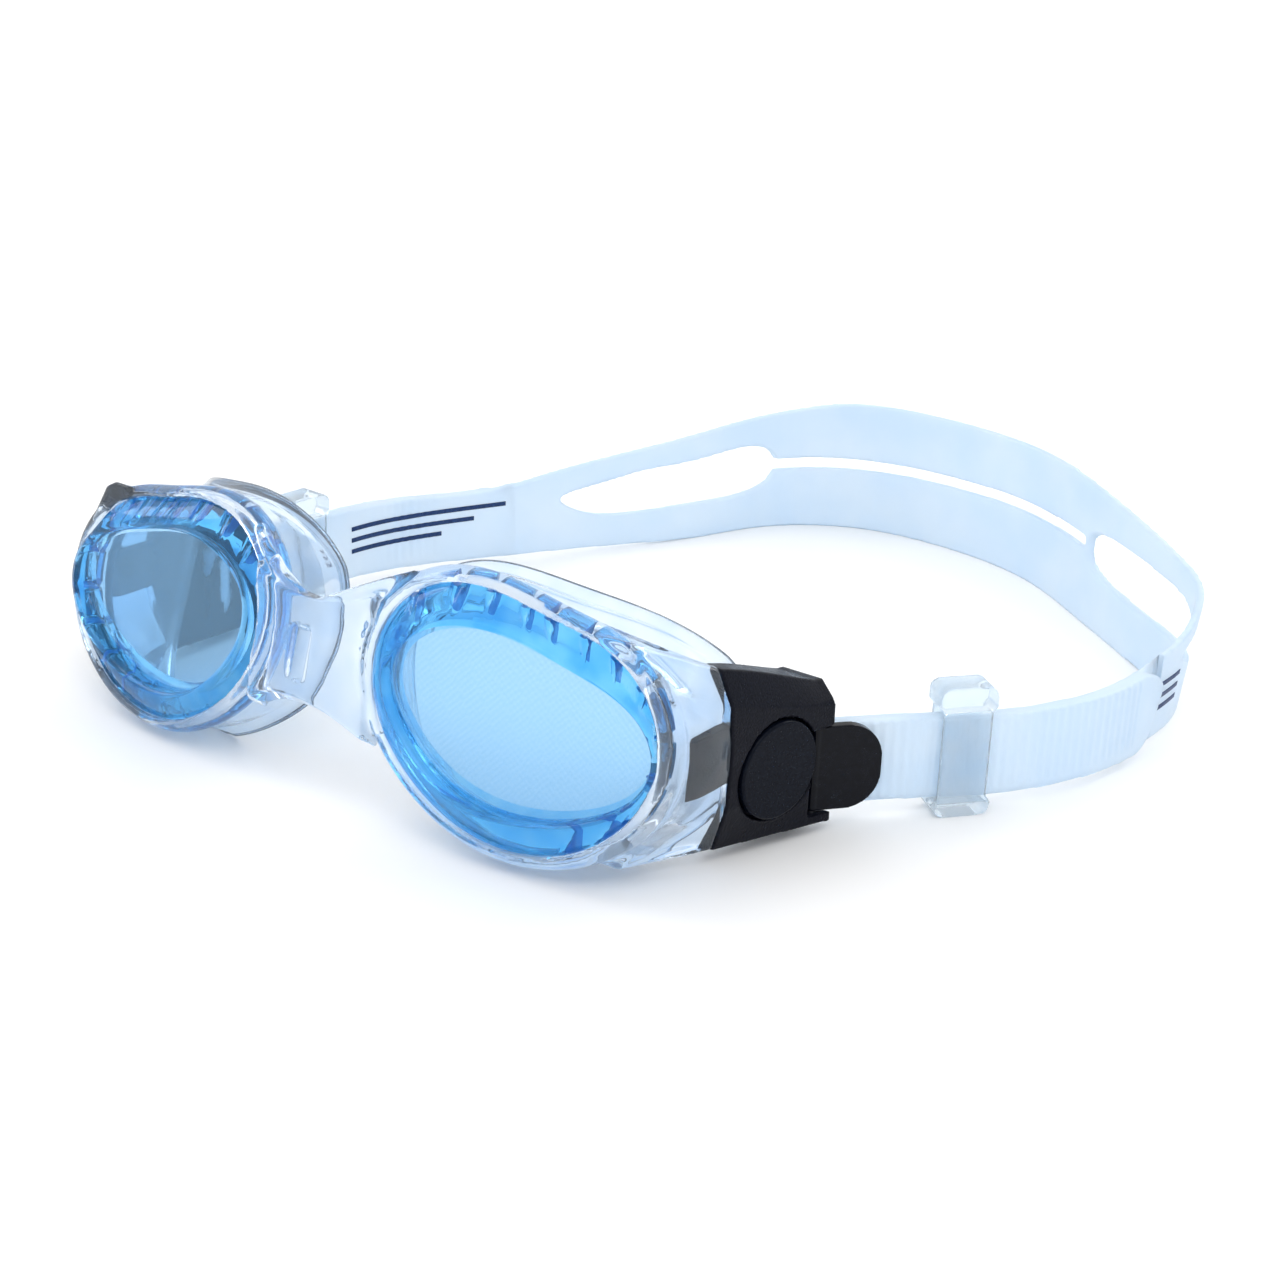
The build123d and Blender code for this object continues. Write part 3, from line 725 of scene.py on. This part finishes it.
def close_shell(bm, grid):
    """Closes a grid of outer and inner vertex pairs into a thin shell."""
    rows, columns = len(grid), len(grid[0])
    for i in range(rows - 1):
        for j in range(columns - 1):
            corners = (grid[i][j], grid[i + 1][j], grid[i + 1][j + 1], grid[i][j + 1])
            for layer in (0, 1):
                bm.faces.new([corner[layer] for corner in corners])
    edge = [(i, 0) for i in range(rows)]
    edge += [(rows - 1, j) for j in range(1, columns)]
    edge += [(i, columns - 1) for i in range(rows - 2, -1, -1)]
    edge += [(0, j) for j in range(columns - 2, 0, -1)]
    for (a, b), (c, d) in zip(edge, edge[1:] + edge[:1]):
        bm.faces.new([grid[a][b][0], grid[c][d][0], grid[c][d][1], grid[a][b][1]])


# ------------------------------------------------------------------ floor and light

FLOOR_HALF = 6.0
# Each light's place, its size and its power, all aimed at the middle of the floor.
LIGHTS = {
    "key": ((0.5, -0.6, 1.0), (0.7, 0.5), 3.0),
    "left": ((-1.0, -0.3, 0.7), (0.4, 0.9), 3.0),
    "back": ((0.2, 1.1, 0.8), (1.2, 0.4), 4.0),
}
# Colours of the studio's walls, by height above the horizon.
HORIZON = (0.60, 0.73, 0.95, 1)
WHITE = (1, 1, 1, 1)
SKY_STEPS = ((0.10, (0.78, 0.87, 1.0, 1)), (0.26, WHITE))


def add_floor():
    mesh = bpy.data.meshes.new("floor")
    s = FLOOR_HALF
    mesh.from_pydata([(-s, -s, 0), (s, -s, 0), (s, s, 0), (-s, s, 0)], [], [(0, 1, 2, 3)])
    floor = bpy.data.objects.new("floor", mesh)
    scene.collection.objects.link(floor)
    mat, tree, shader = node_material("floor", rough=0.6)
    vary(tree, add_noise(tree, 4.0, 2.0), (0.93, 0.93, 0.93), (0.95, 0.95, 0.95), shader.inputs["Base Color"])
    mesh.materials.append(mat)


def add_light(name, at, size, power):
    data = bpy.data.lights.new(name, "AREA")
    data.shape = "RECTANGLE"
    data.size, data.size_y = size
    data.energy = power
    light = bpy.data.objects.new(name, data)
    scene.collection.objects.link(light)
    light.location = at
    light.rotation_euler = (-Vector(at)).to_track_quat("-Z", "Y").to_euler()


def add_sky():
    sky = bpy.data.worlds.new("studio")
    sky.use_nodes = True
    tree = sky.node_tree
    coords = tree.nodes.new("ShaderNodeTexCoord")
    split = tree.nodes.new("ShaderNodeSeparateXYZ")
    ramp = tree.nodes.new("ShaderNodeValToRGB")
    ramp.color_ramp.elements[0].color = HORIZON
    ramp.color_ramp.elements[1].color = WHITE
    for place, color in SKY_STEPS:
        ramp.color_ramp.elements.new(place).color = color
    tree.links.new(coords.outputs["Generated"], split.inputs["Vector"])
    tree.links.new(split.outputs["Z"], ramp.inputs["Fac"])
    tree.links.new(ramp.outputs["Color"], tree.nodes["Background"].inputs["Color"])
    scene.world = sky
    scene.view_settings.view_transform = "Standard"


# ------------------------------------------------------------------ build

add_camera()
front_frame()
for side in SIDES:
    lens(side)
    seal(side)
    moulded_piece(side, "buckle_body", HOUSING, BODY, 0.28, 3, (lowered, opened_pocket))
    moulded_piece(side, "keeper", SLEEVE, f"{side}_sleeve", 0.3, 4, (waisted,))
    moulded_piece(side, "strap_lever", LEVER, f"{side}_lever", 0.2, 4)
    keep_cad_pieces(side)
band = strap()
for side in SIDES:
    strap_mark(side, band)
add_floor()
for name, light in LIGHTS.items():
    add_light(name, *light)
add_sky()
